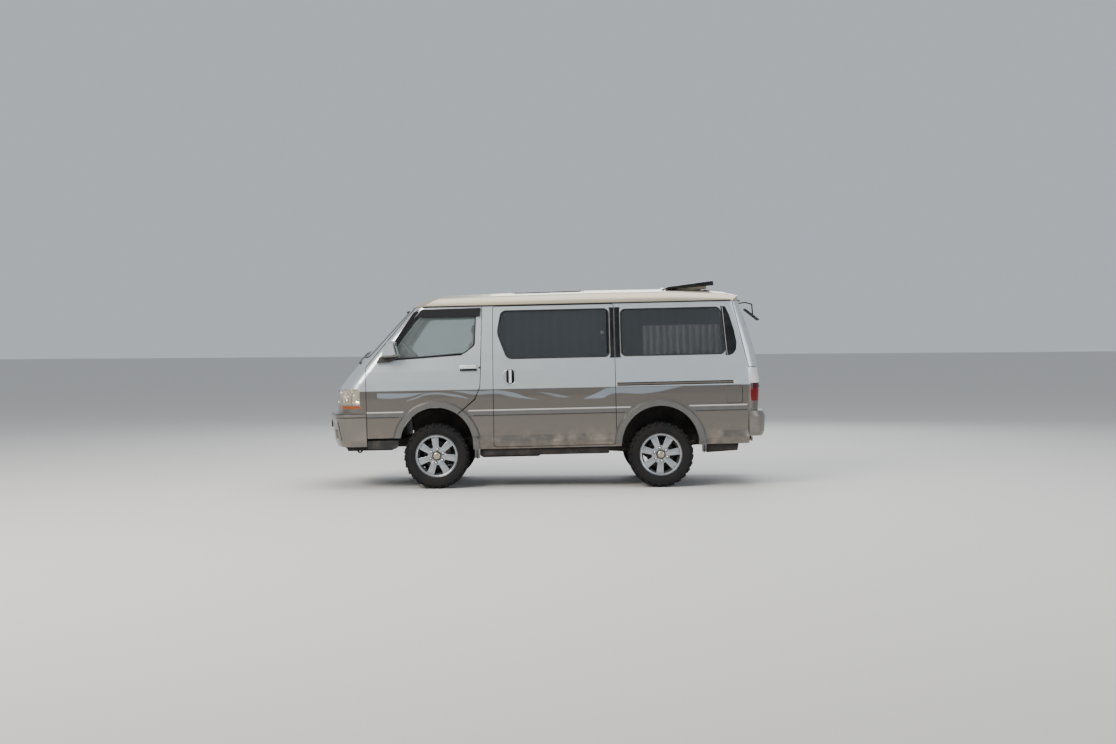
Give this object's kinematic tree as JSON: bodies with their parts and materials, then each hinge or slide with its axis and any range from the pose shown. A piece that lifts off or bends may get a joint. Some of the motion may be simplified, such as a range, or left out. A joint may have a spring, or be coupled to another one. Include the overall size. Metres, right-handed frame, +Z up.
{
  "type": "camper van",
  "caption": "Forward-control four-wheel-drive passenger van fitted out as a camper, with opening doors, tailgate, roof hatch and steered wheels.",
  "frame": {"origin": "on the ground, at the middle of the van's length and width", "axes": "+Z up, the nose points to -X, the van's left side is -Y"},
  "size_m": [4.6528, 2.02, 2.1632],
  "materials": {
    "body_paint": "metallic, two-tone",
    "roof_paint": "metallic",
    "underbody_paint": "matt underseal",
    "black_steel": "satin",
    "black_iron": "rough",
    "bumper_plastic": "painted",
    "black_plastic": "grained",
    "trim_plastic": "satin",
    "lamp_lens": "clear, aged",
    "tail_lens": "clear red",
    "clear_glass": "clear",
    "door_glass": "light tint",
    "dark_glass": "dark tint",
    "flap_rubber": "matt",
    "dash_plastic": "grained",
    "seat_fabric": "woven",
    "bed_fabric": "woven",
    "curtain_fabric": "pleated",
    "engine_iron": "rough",
    "exhaust_steel": "weathered",
    "tyre_rubber": "matt",
    "alloy": "painted silver"
  },
  "bodies": {
    "chassis": {"left_side_panel": "body_paint", "right_side_panel": "body_paint", "nose_panel": "body_paint", "windscreen_frame": "body_paint", "roof_panel": "roof_paint", "floor_pan": "underbody_paint", "chassis_frame": "underbody_paint", "suspension": "black_steel", "rear_axle": "black_iron", "front_bumper": "bumper_plastic", "rear_bumper": "bumper_plastic", "grille": "black_plastic", "headlamps": "lamp_lens", "tail_lamps": "tail_lens", "windscreen": "clear_glass", "side_windows": "dark_glass", "sliding_door": "body_paint", "side_trim": "trim_plastic", "mud_flaps": "flap_rubber", "side_steps": "black_plastic", "sunroof": "dark_glass", "hatch_frame": "black_plastic", "dashboard": "dash_plastic", "front_seats": "seat_fabric", "bed": "bed_fabric", "curtains": "curtain_fabric", "engine": "engine_iron", "fuel_tank": "black_steel", "exhaust": "exhaust_steel"},
    "front_door_left": {"front_door_left": "body_paint", "door_window_left": "door_glass", "door_trim_left": "trim_plastic"},
    "front_door_right": {"front_door_right": "body_paint", "door_window_right": "door_glass", "door_trim_right": "trim_plastic"},
    "tailgate": {"tailgate": "body_paint", "tailgate_window": "dark_glass", "parking_mirror": "black_plastic"},
    "fuel_flap": {"fuel_flap": "body_paint"},
    "hatch_lid": {"hatch_lid": "dark_glass"},
    "steering_wheel": {"steering_wheel": "dash_plastic"},
    "knuckle_left": {"knuckle_left": "black_iron"},
    "knuckle_right": {"knuckle_right": "black_iron"},
    "wheel_front_left": {"tyre_front_left": "tyre_rubber", "rim_front_left": "alloy"},
    "wheel_front_right": {"tyre_front_right": "tyre_rubber", "rim_front_right": "alloy"},
    "wheel_rear_left": {"tyre_rear_left": "tyre_rubber", "rim_rear_left": "alloy"},
    "wheel_rear_right": {"tyre_rear_right": "tyre_rubber", "rim_rear_right": "alloy"}
  },
  "joints": [
    {"name": "steer_left", "type": "hinge", "parent": "chassis", "child": "knuckle_left", "pos_m": [-1.145, -0.612, 0.34], "axis": [-0.0157, 0, 0.9999], "range_deg": [-32, 32]},
    {"name": "steer_right", "type": "hinge", "parent": "chassis", "child": "knuckle_right", "pos_m": [-1.145, 0.612, 0.34], "axis": [-0.0157, 0, 0.9999], "range_deg": [-32, 32]},
    {"name": "steering", "type": "hinge", "parent": "chassis", "child": "steering_wheel", "pos_m": [-1.47394, 0.385, 1.38502], "axis": [0.7325, 0, 0.6807], "range_deg": [-512, 512]},
    {"name": "front_door_left_hinge", "type": "hinge", "parent": "chassis", "child": "front_door_left", "pos_m": [-1.86691, -0.852, 0.87078], "axis": [0.0157, -0.0436, -0.9989], "range_deg": [0, 68]},
    {"name": "front_door_right_hinge", "type": "hinge", "parent": "chassis", "child": "front_door_right", "pos_m": [-1.86691, 0.852, 0.87078], "axis": [-0.0157, -0.0436, 0.9989], "range_deg": [0, 68]},
    {"name": "tailgate_hinge", "type": "hinge", "parent": "chassis", "child": "tailgate", "pos_m": [2.03987, 0, 1.93428], "axis": [0, -1, 0], "range_deg": [0, 85]},
    {"name": "fuel_flap_hinge", "type": "hinge", "parent": "chassis", "child": "fuel_flap", "pos_m": [1.8681, -0.847, 0.96346], "axis": [0.0157, 0, -0.9999], "range_deg": [0, 110]},
    {"name": "hatch_hinge", "type": "hinge", "parent": "chassis", "child": "hatch_lid", "pos_m": [1.27351, 0, 2.07826], "axis": [0, -1, 0], "range_deg": [-6.5, 0]},
    {"name": "wheel_front_left_spin", "type": "hinge", "parent": "knuckle_left", "child": "wheel_front_left", "pos_m": [-1.145, -0.712, 0.34], "axis": [0, 1, 0], "continuous": true},
    {"name": "wheel_front_right_spin", "type": "hinge", "parent": "knuckle_right", "child": "wheel_front_right", "pos_m": [-1.145, 0.712, 0.34], "axis": [0, 1, 0], "continuous": true},
    {"name": "wheel_rear_left_spin", "type": "hinge", "parent": "chassis", "child": "wheel_rear_left", "pos_m": [1.185, -0.712, 0.34], "axis": [0, 1, 0], "continuous": true},
    {"name": "wheel_rear_right_spin", "type": "hinge", "parent": "chassis", "child": "wheel_rear_right", "pos_m": [1.185, 0.712, 0.34], "axis": [0, 1, 0], "continuous": true}
  ],
  "couplings": [
    {"joint": "steer_right", "follows": "steer_left", "ratio": 1},
    {"joint": "steering", "follows": "steer_left", "ratio": 16}
  ]
}
